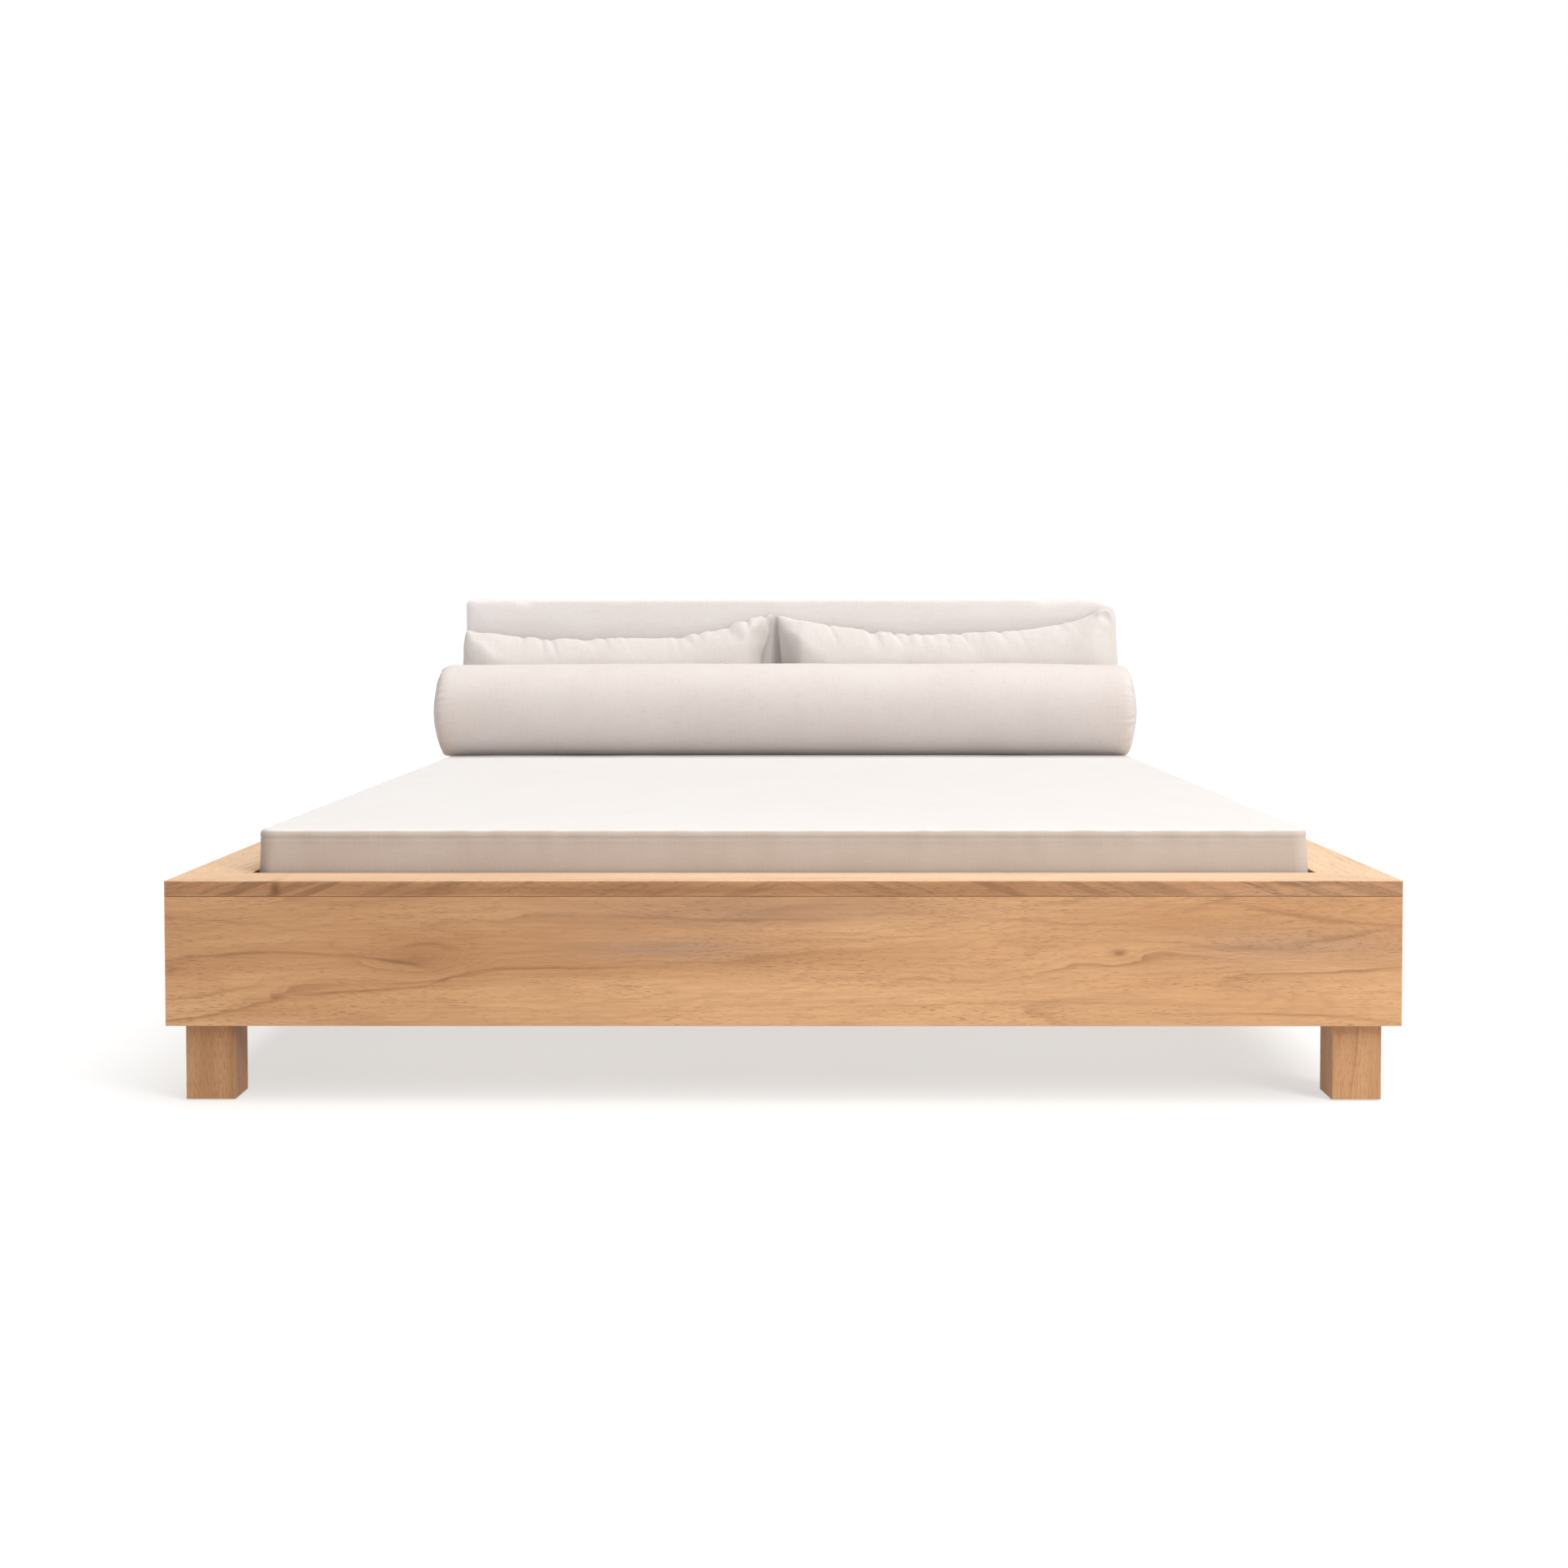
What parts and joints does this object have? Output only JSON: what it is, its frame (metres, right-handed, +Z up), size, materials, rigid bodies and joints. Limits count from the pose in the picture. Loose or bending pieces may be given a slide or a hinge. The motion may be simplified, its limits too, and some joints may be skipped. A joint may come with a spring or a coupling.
{
  "type": "bed frame",
  "caption": "Low wooden platform bed with a mitred ledge round a recessed mattress, square legs, slats, bolster, pillows and back cushion.",
  "frame": {"origin": "on the floor under the middle of the bed's outer box", "axes": "+Z up, +Y from the foot of the bed to its head, +X to the right seen from the foot"},
  "size_m": [1.736, 2.244, 0.73],
  "materials": {
    "teak": "oiled, satin, open long grain",
    "inner_wood": "planed and unfinished",
    "hanger_steel": "black powder coat",
    "zinc_steel": "bright zinc",
    "brass": "turned",
    "pad_plastic": "moulded, fine grain",
    "mattress_cotton": "close plain-woven cotton",
    "cushion_linen": "soft off-white linen weave",
    "foam": "open-cell foam and fibre fill"
  },
  "bodies": {
    "frame": {"beam_hangers": "hanger_steel", "bearer_front": "inner_wood", "bearer_head": "inner_wood", "bearer_left": "inner_wood", "bearer_right": "inner_wood", "bearer_screws": "zinc_steel", "board_screws": "zinc_steel", "board_splines": "inner_wood", "centre_beam": "inner_wood", "centre_leg_front": "inner_wood", "centre_leg_head": "inner_wood", "centre_leg_plates": "hanger_steel", "centre_leg_studs": "zinc_steel", "cleat_screws": "zinc_steel", "foot_pads": "pad_plastic", "leg_bolts": "zinc_steel", "leg_front_left": "teak", "leg_front_right": "teak", "leg_head_left": "teak", "leg_head_right": "teak", "leg_washers": "zinc_steel", "rail_front": "teak", "rail_head": "teak", "rail_inserts": "brass", "rail_left": "teak", "rail_right": "teak", "rail_splines": "inner_wood", "slat_01": "inner_wood", "slat_02": "inner_wood", "slat_03": "inner_wood", "slat_04": "inner_wood", "slat_05": "inner_wood", "slat_06": "inner_wood", "slat_07": "inner_wood", "slat_08": "inner_wood", "slat_09": "inner_wood", "slat_10": "inner_wood", "slat_11": "inner_wood", "slat_12": "inner_wood", "slat_13": "inner_wood", "slat_14": "inner_wood", "slat_cleat_left": "inner_wood", "slat_cleat_right": "inner_wood", "slat_screws": "zinc_steel", "steel_screws": "zinc_steel", "top_board_front": "teak", "top_board_head": "teak", "top_board_left": "teak", "top_board_right": "teak"},
    "mattress": {"mattress_core": "foam", "mattress_cover": "mattress_cotton"},
    "bolster": {"bolster_cover": "cushion_linen", "bolster_fill": "foam"},
    "pillow_left": {"pillow_left_cover": "cushion_linen", "pillow_left_fill": "foam"},
    "pillow_right": {"pillow_right_cover": "cushion_linen", "pillow_right_fill": "foam"},
    "back_cushion": {"back_cushion_core": "foam", "back_cushion_cover": "cushion_linen"}
  },
  "joints": [
    {"name": "mattress_lift", "type": "slide", "parent": "frame", "child": "mattress", "axis": [0, 0, 1], "range_m": [0, 0.25]},
    {"name": "bolster_lift", "type": "slide", "parent": "mattress", "child": "bolster", "axis": [0, -0.7071, 0.7071], "range_m": [0, 0.35]},
    {"name": "pillow_left_lift", "type": "slide", "parent": "mattress", "child": "pillow_left", "axis": [0, 0, 1], "range_m": [0, 0.4]},
    {"name": "pillow_right_lift", "type": "slide", "parent": "mattress", "child": "pillow_right", "axis": [0, 0, 1], "range_m": [0, 0.4]},
    {"name": "back_cushion_lift", "type": "slide", "parent": "mattress", "child": "back_cushion", "axis": [0, 0, 1], "range_m": [0, 0.4]}
  ]
}
